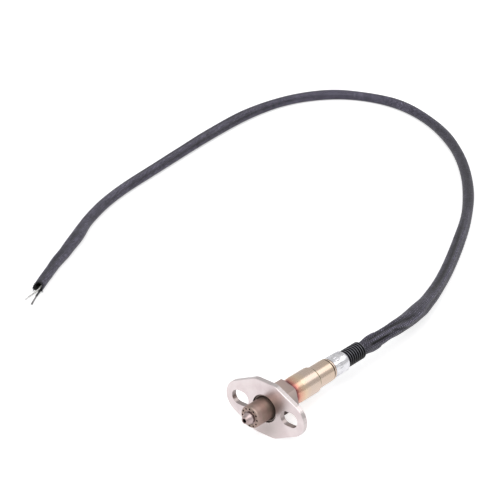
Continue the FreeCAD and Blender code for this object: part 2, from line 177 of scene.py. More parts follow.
def addStudio():
    bpy.ops.mesh.primitive_plane_add(
        size=studio["floorSize"],
        location=(*studio["floorMiddle"], floorHeight - studio["floorGap"]))
    floor = bpy.context.object
    floor.name = "studioFloor"
    material, tree = newMaterial("mattWhitePaper")
    look = directLook(tree, studio["mirroredFloor"])
    lift = addNode(tree, "Math", {0: look, 1: studio["floorLift"]}, operation="MULTIPLY")
    paper = addNode(tree, "BsdfDiffuse", {"Color": studio["floorColour"]})
    glow = addNode(tree, "Emission", {"Strength": lift})
    both = addNode(tree, "AddShader", {0: paper, 1: glow})
    dress(floor, finishWith(material, both))

    world = bpy.data.worlds.new("softRoom")
    bpy.context.scene.world = world
    world.use_nodes = True
    tree = world.node_tree
    tree.nodes.clear()
    place = addNode(tree, "TexCoord")
    height = addNode(tree, "SeparateXYZ", {0: place.outputs["Generated"]})
    room = addNode(tree, "MapRange", {
        "Value": height.outputs["Z"], "From Max": 0.9, "To Min": studio["horizon"],
        "To Max": studio["overhead"]}, interpolation_type="SMOOTHSTEP")
    white = directLook(tree, studio["mirroredWhite"])
    strength = addNode(tree, "Mix", {0: white, 2: room, 3: 1.0})
    sky = addNode(tree, "Background", {"Color": (1.0, 1.0, 1.0, 1.0), "Strength": strength})
    addNode(tree, "OutputWorld", {"Surface": sky})

    for name, (power, towards, angle) in lamps.items():
        lamp = bpy.data.lights.new(name, "SUN")
        lamp.energy = power
        lamp.angle = math.radians(angle)
        aimed(name, lamp, towards)


addCamera()
addStudio()
print("camera, floor and light placed")


# The braided sleeve that carries the three wires, from inside the boot to its open end.
lead = {
    "points": [
        (-0.086, 0.0, 0.0), (-0.134, 0.0, 0.0), (-0.184, -0.0067, -0.006),
        (-0.2465, -0.0285, -0.0135), (-0.312, -0.0577, -0.0159), (-0.378, -0.0905, -0.0159),
        (-0.441, -0.1335, -0.0159), (-0.495, -0.184, -0.0159), (-0.5335, -0.240, -0.0159),
        (-0.551, -0.2955, -0.0159), (-0.537, -0.3475, -0.0159), (-0.493, -0.379, -0.0159),
        (-0.4355, -0.386, -0.0159), (-0.362, -0.377, -0.0159), (-0.2865, -0.363, -0.0159),
        (-0.2065, -0.3485, -0.0159), (-0.152, -0.327, -0.0159), (-0.099, -0.2965, -0.0159),
        (-0.0446, -0.2692, -0.0159),
    ],
    "stepsPerSpan": 40,
    "sides": 64,
    "length": 1.16,
    "diameter": 9.2 * mm,
    "wall": 0.45 * mm,
    "frayedWall": 1.3 * mm,       # at the cut edge, where the strands have opened
    "hiddenLength": 18.7 * mm,    # inside the boot
    "openDepth": 34 * mm,         # how far the open end is hollow
    "frayedDepth": 8 * mm,        # how far in its wall is thickened
    "flapDepth": 9 * mm,          # how far back the rings lean out to the flaps
    "insideShade": 2.0,          # painted shade: the inside is as dark as a fold this deep, in millimetres
    "restHeight": -15.8 * mm,     # where the route is lower, the sleeve lies on the floor
    # distance from the boot, half width and half height, all in millimetres
    "girth": [
        (-20, 4.5, 4.5), (0, 4.55, 4.55), (6, 5.1, 5.0), (15, 5.3, 5.1), (32, 5.2, 5.0),
        (53, 6.0, 5.5), (84, 6.7, 6.0), (112, 5.6, 5.3), (150, 5.15, 4.9), (230, 5.15, 4.85),
        (295, 4.65, 4.5), (330, 4.95, 4.7), (370, 4.75, 4.5), (430, 4.75, 4.4), (465, 5.1, 4.6),
        (510, 4.8, 4.4), (560, 5.4, 4.7), (600, 5.0, 4.5), (632, 5.5, 4.9), (685, 5.0, 4.7),
        (745, 5.5, 5.1), (800, 5.4, 5.0), (850, 5.2, 4.7), (900, 5.2, 4.5), (960, 4.9, 4.5),
        (1020, 4.9, 4.5), (1050, 5.4, 4.9), (1080, 5.0, 4.3), (1110, 4.2, 4.0), (1142, 4.1, 3.9),
    ],
    # A fold's depth also darkens the braid's colour as painted shade; a bulge pales it as a painted
    # highlight.
    # lengthwise folds: angle from the left side over the top, turn along the fold, the
    # millimetre from the boot where it is deepest and where it has faded, depth in
    # millimetres (a bulge is negative), half width in degrees
    "folds": [
        (147, 18, 6, 42, 1.9, 12), (98, 6, 4, 40, 0.75, 16), (232, 4, 24, 6, -0.9, 24),
        (62, -4, 22, 4, -0.6, 20), (50, 8, 25, 42, 0.8, 18), (236, -6, 29, 44, 0.25, 20),
        (30, 20, -4, 56, 1.3, 16), (330, 24, -4, 60, 1.2, 16), (284, -18, -4, 52, 1.3, 16),
        (94, 48, 28, 80, 1.15, 16), (160, -18, 50, 102, -0.8, 13), (206, 14, 34, 110, 0.6, 18),
        (166, -10, 80, 140, 0.8, 16), (98, -32, 100, 310, 1.15, 24), (148, -24, 170, 260, 0.3, 16),
        (98, -26, 275, 460, 0.5, 30), (52, -24, 455, 570, 0.4, 20), (354, 10, 575, 680, 0.5, 18),
        (8, 10, 640, 860, 1.0, 17), (18, 14, 780, 1050, 1.0, 17), (92, -8, 1020, 1110, 0.95, 31),
        (98, -10, 1080, 1160, 1.05, 31), (112, -22, 560, 720, 0.35, 18),
        (86, 22, 700, 1020, 0.6, 15), (134, 68, 33, 62, 1.2, 10), (124, 2, 2, 60, -0.6, 12),
        (136, -34, 100, 330, -0.7, 13),
    ],
    "foldEnds": (5, 2.2),         # a fold deepens in 1 / 5 of its length and fades in 1 / 2.2
    "foldLip": (0.35, 2.1),       # swelling beside it: share of its depth, half widths away
    # distance from the boot, and the painted light and shade on the braid there: more is paler,
    # less is darker
    "paintedLight": [
        (-20, 0.0), (60, 0.05), (220, 0.1), (270, -0.1), (320, -0.3), (440, -0.25), (500, 0.1),
        (560, 0.8), (660, 0.85), (740, 0.4), (860, 0.5), (940, 0.65), (1030, 0.5), (1160, 0.5),
    ],
    # distance from the boot, and how far the sleeve lies to the left of its route there, in
    # millimetres: a last slight wave before the open end
    "sway": [
        (-20, 0.0), (1015, -0.1), (1045, 1.15), (1073, 0.0), (1100, -1.2), (1120, -0.9),
        (1160, 0.2),
    ],
    # what the cut end adds to its plane: the angle, the reach in millimetres and the breadth
    # in square degrees; two flaps, and short on top
    "flaps": [(190, 2.6, 900), (340, 2.2, 700), (95, -3.2, 2400)],
    "nibbles": (0.25, 9),         # height in millimetres and number of its small waves
}


def addSpline(data, points, steps):  # a smooth curve that the control points draw along
    spline = data.splines.new("NURBS")
    spline.points.add(len(points) - 1)
    for point, place in zip(spline.points, points):
        point.co = (*place, 1.0)
    spline.order_u = 3
    spline.use_endpoint_u = True
    spline.resolution_u = steps


def routeOf(points, steps):  # points down the smooth curve that the control points draw
    data = bpy.data.curves.new("leadRoute", "CURVE")
    data.dimensions = "3D"
    addSpline(data, points, steps)
    carrier = bpy.data.objects.new("leadRoute", data)
    line = bpy.data.meshes.new_from_object(carrier)
    route = [v.co.copy() for v in line.vertices]
    bpy.data.meshes.remove(line)
    bpy.data.objects.remove(carrier)
    bpy.data.curves.remove(data)
    return route


def smooth(share):
    share = min(max(share, 0.0), 1.0)
    return share * share * (3 - 2 * share)


def easedAt(stations, distance):  # the values at a distance, eased from station to station
    for (here, *before), (there, *after) in zip(stations, stations[1:]):
        if distance <= there:
            share = smooth((distance - here) / (there - here))
            return [old + (new - old) * share for old, new in zip(before, after)]
    return stations[-1][1:]


def girthAt(distance):  # half width and half height of the sleeve, in metres
    return [size * mm for size in easedAt(lead["girth"], distance)]


def degreesApart(one, other):
    return abs((one - other + 180) % 360 - 180)


def foldAt(distance, angle):  # depth of the folds at a place on the sleeve, in millimetres
    depth = 0.0
    onset, ending = lead["foldEnds"]
    lipShare, lipPlace = lead["foldLip"]
    for start, turn, first, last, deep, halfWidth in lead["folds"]:
        share = (distance - first) / (last - first)
        if not 0 < share < 1:
            continue
        fade = smooth(share * onset) * smooth((1 - share) * ending)
        off = degreesApart(angle, start + turn * share)
        depth += deep * fade * math.exp(-(off / halfWidth) ** 2)
        depth -= lipShare * deep * fade * math.exp(-((off - lipPlace * halfWidth) / halfWidth) ** 2)
    return depth


def mouthReach(angle):  # how far the cut end reaches beyond its plane, in metres
    height, waves = lead["nibbles"]
    reach = height * math.sin(math.radians(angle * waves))
    for middle, most, breadth in lead["flaps"]:
        reach += most * math.exp(-degreesApart(angle, middle) ** 2 / breadth)
    return reach * mm


def aboveFloor(place, clearance=0.0):  # nothing goes below what the sensor lies on
    return Vector((place.x, place.y, max(place.z, floorHeight + clearance)))


def sleeveRings(route):  # the sleeve's outside, ring by ring
    sides = lead["sides"]
    along = [0.0]
    for before, here in zip(route, route[1:]):
        along.append(along[-1] + (here - before).length)
    rings = []  # each ring's corners, direction and painted shade
    for i, centre in enumerate(route):
        ahead = (route[min(i + 1, len(route) - 1)] - route[max(i - 1, 0)]).normalized()
        side = Vector((-ahead.y, ahead.x, 0)).normalized()
        up = ahead.cross(side)
        distance = (along[i] - lead["hiddenLength"]) / mm
        width, height = girthAt(distance)
        resting = centre.z < lead["restHeight"]
        settle = Vector((0, 0, height - lead["diameter"] / 2 if resting else 0.0))
        centre = centre + side * easedAt(lead["sway"], distance)[0] * mm
        # painted light and shade along the sleeve
        paintedLight = easedAt(lead["paintedLight"], distance)[0]
        ring = []
        paintedShades = []
        for j in range(sides):
            angle = 360 * j / sides
            turn = math.radians(angle)
            depth = foldAt(distance, angle)
            out = (side * math.cos(turn) * (width - depth * mm)
                   + up * math.sin(turn) * (height - depth * mm))
            ring.append(aboveFloor(centre + out + settle))
            # painted shade: the fold's depth, less the painted light along the sleeve
            paintedShades.append(depth - paintedLight)
        rings.append((ring, ahead, paintedShades))
    print("sleeve route", round(along[-1], 4), "m")
    return rings, along


route = routeOf(lead["points"], lead["stepsPerSpan"])


def ringBefore(along, depth):  # the last ring that is further than this from the mouth
    return max(i for i, place in enumerate(along) if along[-1] - place > depth)


def addSleeve():
    rings, along = sleeveRings(route)
    sides = lead["sides"]
    total = along[-1]
    outer, aheads, wearAndShade = (list(column) for column in zip(*rings))
    weave = list(along)
    plain = ringBefore(along, lead["flapDepth"])
    for i in range(plain, len(outer)):  # the rings before the mouth lean out to the flaps
        share = smooth((along[i] - along[plain]) / (total - along[plain]))
        outer[i] = [corner + aheads[i] * mouthReach(360 * j / sides) * share
                    for j, corner in enumerate(outer[i])]
    inner = []
    for i in range(len(outer) - 1, ringBefore(along, lead["openDepth"]), -1):
        centre = sum(outer[i], Vector()) / sides
        opened = smooth(1 - (total - along[i]) / lead["frayedDepth"])
        thick = lead["wall"] + (lead["frayedWall"] - lead["wall"]) * opened
        inner.append([c + (centre - c).normalized() * thick for c in outer[i]])
        weave.append(along[i])
        # the open end's inside is darkened with painted shade
        wearAndShade.append([lead["insideShade"]] * sides)
    corners = outer + inner
    mesh = bpy.data.meshes.new("braidedSleeve")
    shape = bmesh.new()
    uv = shape.loops.layers.uv.new("weave")
    # painted shade on each corner, which the braid's colour reads
    paintedShade = shape.verts.layers.float.new("paintedShade")
    made = [[shape.verts.new(c) for c in ring] for ring in corners]
    for ring, depths in zip(made, wearAndShade):
        for corner, depth in zip(ring, depths):
            corner[paintedShade] = depth

    def face(loop, places):
        new = shape.faces.new(loop)
        for corner, place in zip(new.loops, places):
            corner[uv].uv = place
        new.smooth = True

    for i in range(len(made) - 1):
        for j in range(sides):
            k = (j + 1) % sides
            low, high = j / sides, (j + 1) / sides
            face([made[i][j], made[i][k], made[i + 1][k], made[i + 1][j]],
                 [(low, weave[i]), (high, weave[i]), (high, weave[i + 1]), (low, weave[i + 1])])
    face(made[0][::-1], [(j / sides, weave[0]) for j in range(sides)])
    face(made[-1], [(j / sides, weave[-1]) for j in range(sides)])
    bmesh.ops.recalc_face_normals(shape, faces=shape.faces)
    shape.to_mesh(mesh)
    shape.free()
    sleeve = bpy.data.objects.new("braidedSleeve", mesh)
    bpy.context.scene.collection.objects.link(sleeve)
    return sleeve


braid = {
    "strands": 14.0,              # each way round; half the real count, so that they show
    "pitch": 2.1 * mm,            # one strand to the next, along the sleeve
}


def braidedPolyester():
    # Black monofilament polyester, braided: a fine diamond weave with a dry sheen, with painted
    # shade in its folds and open end, and painted light and shade along its length.
    material, tree = newMaterial("braidedPolyester")
    place = addNode(tree, "UVMap", uv_map="weave")
    split = addNode(tree, "SeparateXYZ", {0: place.outputs["UV"]})
    around = addNode(tree, "Math", {0: split.outputs["X"], 1: braid["strands"]},
                     operation="MULTIPLY")
    onward = addNode(tree, "Math", {0: split.outputs["Y"], 1: braid["pitch"]}, operation="DIVIDE")
    left = addNode(tree, "Math", {0: around, 1: onward}, operation="ADD")
    right = addNode(tree, "Math", {0: around, 1: onward}, operation="SUBTRACT")
    heights = []
    for hand in (left, right):
        share = addNode(tree, "Math", {0: hand}, operation="FRACT")
        wave = addNode(tree, "Math", {0: share, 1: math.pi}, operation="MULTIPLY")
        arch = addNode(tree, "Math", {0: wave}, operation="SINE")
        heights.append(addNode(tree, "Math", {0: arch, 1: 0.6}, operation="POWER"))
    cells = [addNode(tree, "Math", {0: hand}, operation="FLOOR") for hand in (left, right)]
    cell = addNode(tree, "Math", {0: cells[0], 1: cells[1]}, operation="ADD")
    over = addNode(tree, "Math", {0: cell, 1: 2.0}, operation="FLOORED_MODULO")
    top = addNode(tree, "Mix", {0: over, 2: heights[0], 3: heights[1]})
    crossing = addNode(tree, "Math", {0: heights[0], 1: heights[1]}, operation="MULTIPLY")
    relief = addNode(tree, "Math", {0: top, 1: crossing}, operation="MULTIPLY")
    spot = addNode(tree, "TexCoord")
    wearAndShade = addNode(tree, "TexNoise", {"Vector": spot.outputs["Object"], "Scale": 1 / (9 * mm),
                                      "Detail": 3.0})
    speck = addNode(tree, "TexNoise", {"Vector": spot.outputs["Object"], "Scale": 1 / (1.6 * mm),
                                       "Detail": 2.0})
    blend = addNode(tree, "Math", {0: relief, 1: speck}, operation="MULTIPLY")
    faint = addNode(tree, "MapRange", {"Value": wearAndShade, "To Min": 0.28, "To Max": 0.72})
    shade = addNode(tree, "Math", {0: blend, 1: faint, 2: 0.12}, operation="MULTIPLY_ADD")
    ramp = addNode(tree, "ValToRGB", {"Fac": shade})
    fillRamp(ramp, [(0.10, "#100F14"), (0.25, "#2F2C38"), (0.46, "#837F95")])
    # painted shade and light: the colour is scaled down where the painted shade is deep and up
    # where it is negative
    shadeAttribute = addNode(tree, "Attribute", attribute_name="paintedShade")
    shadow = addNode(tree, "MapRange", {"Value": shadeAttribute.outputs["Fac"], "From Min": -1.2,
                                        "From Max": 1.3, "To Min": 2.0, "To Max": 0.1})
    shadedColour = addNode(tree, "VectorMath", {0: ramp, "Scale": shadow}, operation="SCALE")
    return skinWith(material, shadedColour, 0.62, relief, 0.25 * mm, 0.7, {
        "Specular IOR Level": 0.45, "Sheen Weight": 0.12, "Sheen Roughness": 0.45})


sleeve = addSleeve()
polyester = braidedPolyester()
finishPiece(sleeve, polyester, "black_braid", "braided_lead")
print("braided sleeve made")


# Carried parts and pieces take their finish from these materials. Lines and grains finer than
# about 0.3 mm wouldn't show, so they are drawn that coarse.
headSpans = {                     # the first and the last place of each change along the axis
    "tube": (-4.6 * mm, 15 * mm),
    "nose": (14 * mm, 20.4 * mm),
    "housing": (-30 * mm, 0.0),
    "goldSleeve": (-22.9 * mm, -66.4 * mm),
    "goldStep": (-48.4 * mm, -51.6 * mm),
    "crimpBead": (-66.3 * mm, -70.3 * mm),
    "boot": (-83.9 * mm, -104.7 * mm),
}
gasHolesWithin = 7.2 * mm         # radius round the axis that holds the ring of gas holes
bootRibs = 9
bootFirstRib = 0.6                # the first crest, in ribs from the front


def objectPlace(tree, stretch=(1.0, 1.0, 1.0)):  # a place on the object, in metres
    spot = addNode(tree, "TexCoord")
    return addNode(tree, "Mapping", {"Vector": spot.outputs["Object"], "Scale": stretch})


def axesOf(tree, what):  # X, Y and Z of the place ("Object") or of the "Normal"
    spot = addNode(tree, "TexCoord")
    return addNode(tree, "SeparateXYZ", {0: spot.outputs[what]}).outputs


def alongAxis(tree, first, last):  # 0 to 1 along X, between two places in metres
    x = axesOf(tree, "Object")["X"]
    return addNode(tree, "MapRange", {"Value": x, "From Min": first, "From Max": last})


def metalSkin(material, colour, mark, roughness, height, strength, relief=None):
    # Bare metal: the mark moves its roughness between two values, and is its relief too
    # unless another is given.
    low, high = roughness
    dull = addNode(material.node_tree, "MapRange", {"Value": mark, "To Min": low, "To Max": high})
    return skinWith(material, colour, dull, relief or mark, height, strength, {"Metallic": 1.0})


def nearPlace(tree, centre, reach):  # 1 at a place, fading to 0 at the reach from it
    off = addNode(tree, "VectorMath", {0: objectPlace(tree), 1: centre}, operation="DISTANCE")
    return addNode(tree, "MapRange", {"Value": off, "From Max": reach, "To Min": 1.0,
                                      "To Max": 0.0}, interpolation_type="SMOOTHSTEP")


flangeMarks = {                   # the middle of each mark, and how far it reaches
    "tubeReflection": ((0.0, 13 * mm, 4 * mm), 14 * mm),
    "shadeBelowTube": ((0.0, 3 * mm, -12 * mm), 19 * mm),
    "slotWall": ((2 * mm, 21.25 * mm, 0.0), 11 * mm),  # with the flange's halves folded into one
}


def tumbledNickelPlate():
    # Nickel plate over pressed steel, tumbled: a pale satin with a fine even grain, faint
    # handling scratches, a painted reflection of the tube beside its hole and painted shade below
    # it, streaks from the shear on the punched edges and painted shade on the slot walls.
    material, tree = newMaterial("tumbledNickelPlate")
    cloud = addNode(tree, "TexNoise", {"Vector": objectPlace(tree), "Scale": 1 / (11 * mm),
                                       "Detail": 4.0})
    grain = addNode(tree, "TexNoise", {"Vector": objectPlace(tree), "Scale": 1 / (0.45 * mm),
                                       "Detail": 3.0})
    scratch = addNode(tree, "TexNoise", {"Vector": objectPlace(tree, (1.0, 0.9, 0.08)),
                                         "Scale": 1 / (0.5 * mm), "Detail": 2.0, "Distortion": 0.6})
    tone = addNode(tree, "ValToRGB", {"Fac": cloud})
    fillRamp(tone, [(0.30, "#DDCFD0"), (0.52, "#E9DDDD"), (0.75, "#F0E7E7")])
    # painted reflection of the tube, darker beside the hole, and painted shade below the tube
    reflectionShare = nearPlace(tree, *flangeMarks["tubeReflection"])
    belowShare = nearPlace(tree, *flangeMarks["shadeBelowTube"])
    shadedBelow = addNode(tree, "Mix", {0: belowShare, 6: tone, 7: "#C9BFBD"}, data_type="RGBA")
    withReflection = addNode(tree, "Mix", {0: reflectionShare, 6: shadedBelow, 7: "#C3B9B8"}, data_type="RGBA")
    facing = axesOf(tree, "Normal")
    flat = addNode(tree, "Math", {0: facing["X"]}, operation="ABSOLUTE")
    edge = addNode(tree, "MapRange", {"Value": flat, "From Min": 0.15, "From Max": 0.55,
                                      "To Min": 1.0, "To Max": 0.0})
    streak = addNode(tree, "TexNoise", {"Vector": objectPlace(tree, (0.05, 1.0, 1.0)),
                                        "Scale": 1 / (0.6 * mm), "Detail": 3.0})
    shear = addNode(tree, "Mix", {0: streak, 6: "#B9ADAC", 7: "#F0E8E7"}, data_type="RGBA")
    folded = addNode(tree, "VectorMath", {0: objectPlace(tree)}, operation="ABSOLUTE")
    # painted shade on the slot walls
    slotMiddle, slotReach = flangeMarks["slotWall"]
    off = addNode(tree, "VectorMath", {0: folded, 1: slotMiddle}, operation="DISTANCE")
    slotWall = addNode(tree, "Math", {0: off, 1: slotReach}, operation="LESS_THAN")
    slotShaded = addNode(tree, "Mix", {0: slotWall, 6: shear, 7: "#AFA3A1"}, data_type="RGBA")
    colour = addNode(tree, "Mix", {0: edge, 6: withReflection, 7: slotShaded}, data_type="RGBA")
    relief = addNode(tree, "Math", {0: scratch, 1: 0.5, 2: grain}, operation="MULTIPLY_ADD")
    return metalSkin(material, colour, grain, (0.25, 0.38), 0.05 * mm, 0.25, relief)


def shadedHoleWalls(tree, radius, colour):  # soot and painted shade: near black inside the radius, on what doesn't face the end
    out = addNode(tree, "VectorMath", {0: objectPlace(tree, (0.0, 1.0, 1.0))}, operation="LENGTH")
    inside = addNode(tree, "Math", {0: out, 1: radius}, operation="LESS_THAN")
    level = addNode(tree, "Math", {0: axesOf(tree, "Normal")["X"]}, operation="ABSOLUTE")
    wall = addNode(tree, "Math", {0: level, 1: 0.5}, operation="LESS_THAN")
    both = addNode(tree, "Math", {0: inside, 1: wall}, operation="MULTIPLY")
    return addNode(tree, "Mix", {0: both, 6: colour, 7: "#100C0B"}, data_type="RGBA")


def oxidisedTubeSteel():
    # Deep-drawn stainless that has been hot: brown with rose and olive patches, soot and
    # painted shade in the holes, and fine rings from the drawing die.
    material, tree = newMaterial("oxidisedTubeSteel")
    along = alongAxis(tree, *headSpans["tube"])
    drift = addNode(tree, "TexNoise", {"Vector": objectPlace(tree), "Scale": 1 / (6 * mm),
                                       "Detail": 3.0})
    moved = addNode(tree, "Math", {0: drift, 1: 0.36, 2: along}, operation="MULTIPLY_ADD")
    tone = addNode(tree, "ValToRGB", {"Fac": moved})
    fillRamp(tone, [(0.30, "#A8958B"), (0.46, "#998479"), (0.62, "#957E75"), (0.80, "#A38B82"),
                    (0.95, "#AE978E"), (1.0, "#B29B93")])
    patch = addNode(tree, "TexNoise", {"Vector": objectPlace(tree), "Scale": 1 / (4.5 * mm),
                                       "Detail": 2.0})
    share = addNode(tree, "MapRange", {"Value": patch, "From Min": 0.42, "From Max": 0.62,
                                       "To Max": 0.5})
    olive = addNode(tree, "Mix", {0: share, 6: tone, 7: "#8B8073"}, data_type="RGBA")
    holesShaded = shadedHoleWalls(tree, gasHolesWithin, olive)
    rings = addNode(tree, "TexNoise", {"Vector": objectPlace(tree, (1.0, 0.03, 0.03)),
                                       "Scale": 1 / (0.35 * mm), "Detail": 3.0})
    grain = addNode(tree, "TexNoise", {"Vector": objectPlace(tree), "Scale": 1 / (0.5 * mm),
                                       "Detail": 3.0})
    relief = addNode(tree, "Math", {0: rings, 1: grain}, operation="ADD")
    return metalSkin(material, holesShaded, grain, (0.44, 0.58), 0.04 * mm, 0.3, relief)


def formedNoseSteel():
    # The inner tube's nose is the same stainless with less oxide: paler, rose grey.
    material, tree = newMaterial("formedNoseSteel")
    along = alongAxis(tree, *headSpans["nose"])
    tone = addNode(tree, "ValToRGB", {"Fac": along})
    fillRamp(tone, [(0.0, "#9A8886"), (0.2, "#BBA9A8"), (0.6, "#C4B2B1"), (1.0, "#B3A09D")])
    rings = addNode(tree, "TexNoise", {"Vector": objectPlace(tree, (1.0, 0.05, 0.05)),
                                       "Scale": 1 / (0.3 * mm), "Detail": 2.0})
    return metalSkin(material, tone, rings, (0.28, 0.42), 0.04 * mm, 0.3)


housingMarks = {                  # where each mark fades, along the axis or in height
    "behindFlange": -3.5 * mm,
    "shadowHeights": (-1.0 * mm, 1.5 * mm),
    "shadowAlong": (-19 * mm, -13 * mm),
    "lowerShadeHeights": (2 * mm, 11 * mm),
}


def turnedHousingSteel():
    # Free-cutting steel bar, turned and plated, browned by heat at the gas end: draw lines
    # run along the hexagon, painted shade makes its lower sides greyer and the face that the
    # flange covers dark, and a painted shadow darkens the underside behind it.
    material, tree = newMaterial("turnedHousingSteel")
    along = alongAxis(tree, *headSpans["housing"])
    drift = addNode(tree, "TexNoise", {"Vector": objectPlace(tree), "Scale": 1 / (7 * mm),
                                       "Detail": 3.0})
    moved = addNode(tree, "Math", {0: drift, 1: 0.12, 2: along}, operation="MULTIPLY_ADD")
    tone = addNode(tree, "ValToRGB", {"Fac": moved})
    fillRamp(tone, [(0.28, "#6A4A50"), (0.34, "#C2ACA6"), (0.62, "#CAB7AE"), (0.88, "#BDAAA3"),
                    (0.93, "#B3A199"), (1.0, "#93837C")])
    place = axesOf(tree, "Object")
    facing = axesOf(tree, "Normal")
    # painted shade on the face that the flange covers, and a painted shadow under the hexagon
    behind = addNode(tree, "Math", {0: place["X"], 1: housingMarks["behindFlange"]},
                     operation="LESS_THAN")
    forward = addNode(tree, "Math", {0: facing["X"], 1: 0.3}, operation="GREATER_THAN")
    covered = addNode(tree, "Math", {0: behind, 1: forward}, operation="MULTIPLY")
    low, high = housingMarks["shadowHeights"]
    under = addNode(tree, "MapRange", {"Value": place["Z"], "From Min": low, "From Max": high,
                                       "To Min": 1.0, "To Max": 0.0})
    close = alongAxis(tree, *housingMarks["shadowAlong"])
    paintedShadow = addNode(tree, "Math", {0: under, 1: close}, operation="MULTIPLY")
    shadowBehind = addNode(tree, "Math", {0: behind, 1: paintedShadow}, operation="MULTIPLY")
    dark = addNode(tree, "Math", {0: covered, 1: shadowBehind}, operation="MAXIMUM")
    # painted shade: greyer towards the bottom
    low, high = housingMarks["lowerShadeHeights"]
    lower = addNode(tree, "MapRange", {"Value": place["Z"], "From Min": low, "From Max": high,
                                       "To Min": 0.7, "To Max": 0.0})
    shadedColour = addNode(tree, "Mix", {0: lower, 6: tone, 7: "#96908C"}, data_type="RGBA")
    colour = addNode(tree, "Mix", {0: dark, 6: shadedColour, 7: "#4C423F"}, data_type="RGBA")
    lines = addNode(tree, "TexNoise", {"Vector": objectPlace(tree, (0.04, 1.0, 1.0)),
                                       "Scale": 1 / (0.5 * mm), "Detail": 3.0})
    return metalSkin(material, colour, lines, (0.30, 0.46), 0.04 * mm, 0.3)


def strawTintedStainless():
    # Stainless tube with the rainbow of the weld beside the hexagon: dark purple, red,
    # salmon, then straw, fading to pale gold; fine draw lines along it, and a ring of
    # painted shade just behind its step.
    material, tree = newMaterial("strawTintedStainless")
    along = alongAxis(tree, *headSpans["goldSleeve"])
    drift = addNode(tree, "TexNoise", {"Vector": objectPlace(tree), "Scale": 1 / (8 * mm),
                                       "Detail": 3.0})
    centred = addNode(tree, "Math", {0: drift, 1: -0.5}, operation="ADD")
    moved = addNode(tree, "Math", {0: centred, 1: 0.13, 2: along}, operation="MULTIPLY_ADD")
    tone = addNode(tree, "ValToRGB", {"Fac": moved})
    fillRamp(tone, [(0.0, "#5E2E3A"), (0.04, "#84484A"), (0.07, "#B5766C"), (0.105, "#DC9F8B"),
                    (0.15, "#E2B69E"), (0.22, "#E4CBB0"), (0.38, "#DAC6B8"), (0.70, "#DAC5B5"),
                    (1.0, "#D8C2AE")])
    step = alongAxis(tree, *headSpans["goldStep"])
    # painted shade: a dark ring just behind the step
    mark = addNode(tree, "Math", {0: step, 1: 0.6, 2: 0.25}, operation="COMPARE")
    stepShaded = addNode(tree, "Mix", {0: mark, 6: tone, 7: "#948C72"}, data_type="RGBA")
    lines = addNode(tree, "TexNoise", {"Vector": objectPlace(tree, (0.03, 1.0, 1.0)),
                                       "Scale": 1 / (0.45 * mm), "Detail": 3.0})
    return metalSkin(material, stepShaded, lines, (0.19, 0.31), 0.03 * mm, 0.25)


def brightStainless():
    # Bright-annealed stainless sheet, pressed by the crimp jaws: near white, with grey
    # burnish where the jaws closed. The bead at its front took the straw tint of the
    # sleeve beside it, between a near black groove of painted shade and a thin brown line.
    material, tree = newMaterial("brightStainless")
    cloud = addNode(tree, "TexNoise", {"Vector": objectPlace(tree), "Scale": 1 / (3.2 * mm),
                                       "Detail": 4.0})
    plain = addNode(tree, "ValToRGB", {"Fac": cloud})
    fillRamp(plain, [(0.30, "#D6D4D9"), (0.46, "#E8E7EB"), (0.70, "#F3F2F5")])
    along = alongAxis(tree, *headSpans["crimpBead"])
    # painted shade: the groove in front of the bead is near black
    bands = addNode(tree, "ValToRGB", {"Fac": along})
    fillRamp(bands, [(0.0, "#1E120E"), (0.32, "#2E1D16"), (0.37, "#E0CDBC"), (0.54, "#E6D6C8"),
                     (0.59, "#6B4638"), (0.72, "#A58C80"), (0.80, "#E8E7EB")])
    tinted = addNode(tree, "Math", {0: along, 1: 0.80}, operation="LESS_THAN")
    tone = addNode(tree, "Mix", {0: tinted, 6: plain, 7: bands}, data_type="RGBA")
    rub = addNode(tree, "TexNoise", {"Vector": objectPlace(tree, (1.0, 0.08, 0.08)),
                                     "Scale": 1 / (0.4 * mm), "Detail": 3.0})
    return metalSkin(material, tone, rub, (0.20, 0.32), 0.03 * mm, 0.25)


def plainMetal(name, dark, pale, roughness, size, stretch=(1.0, 1.0, 1.0)):
    # Metal as it left the press, the lathe or the wire die: two close tones, in marks of one
    # size, which also vary its gloss.
    material, tree = newMaterial(name)
    mark = addNode(tree, "TexNoise", {"Vector": objectPlace(tree, stretch), "Scale": 1 / size,
                                      "Detail": 3.0})
    colour = addNode(tree, "Mix", {0: mark, 6: dark, 7: pale}, data_type="RGBA")
    return metalSkin(material, colour, mark, (roughness - 0.08, roughness + 0.08), 0.03 * mm, 0.25)


def dullStuff(name, dark, pale, roughness, size, height):
    # Ceramic, powder, rubber or plastic: two close tones and a fine relief.
    material, tree = newMaterial(name)
    mark = addNode(tree, "TexNoise", {"Vector": objectPlace(tree), "Scale": 1 / size,
                                      "Detail": 4.0})
    colour = addNode(tree, "Mix", {0: mark, 6: dark, 7: pale}, data_type="RGBA")
    dull = addNode(tree, "MapRange", {"Value": mark, "To Min": roughness - 0.07,
                                      "To Max": roughness + 0.07})
    return skinWith(material, colour, dull, mark, height, 0.35)


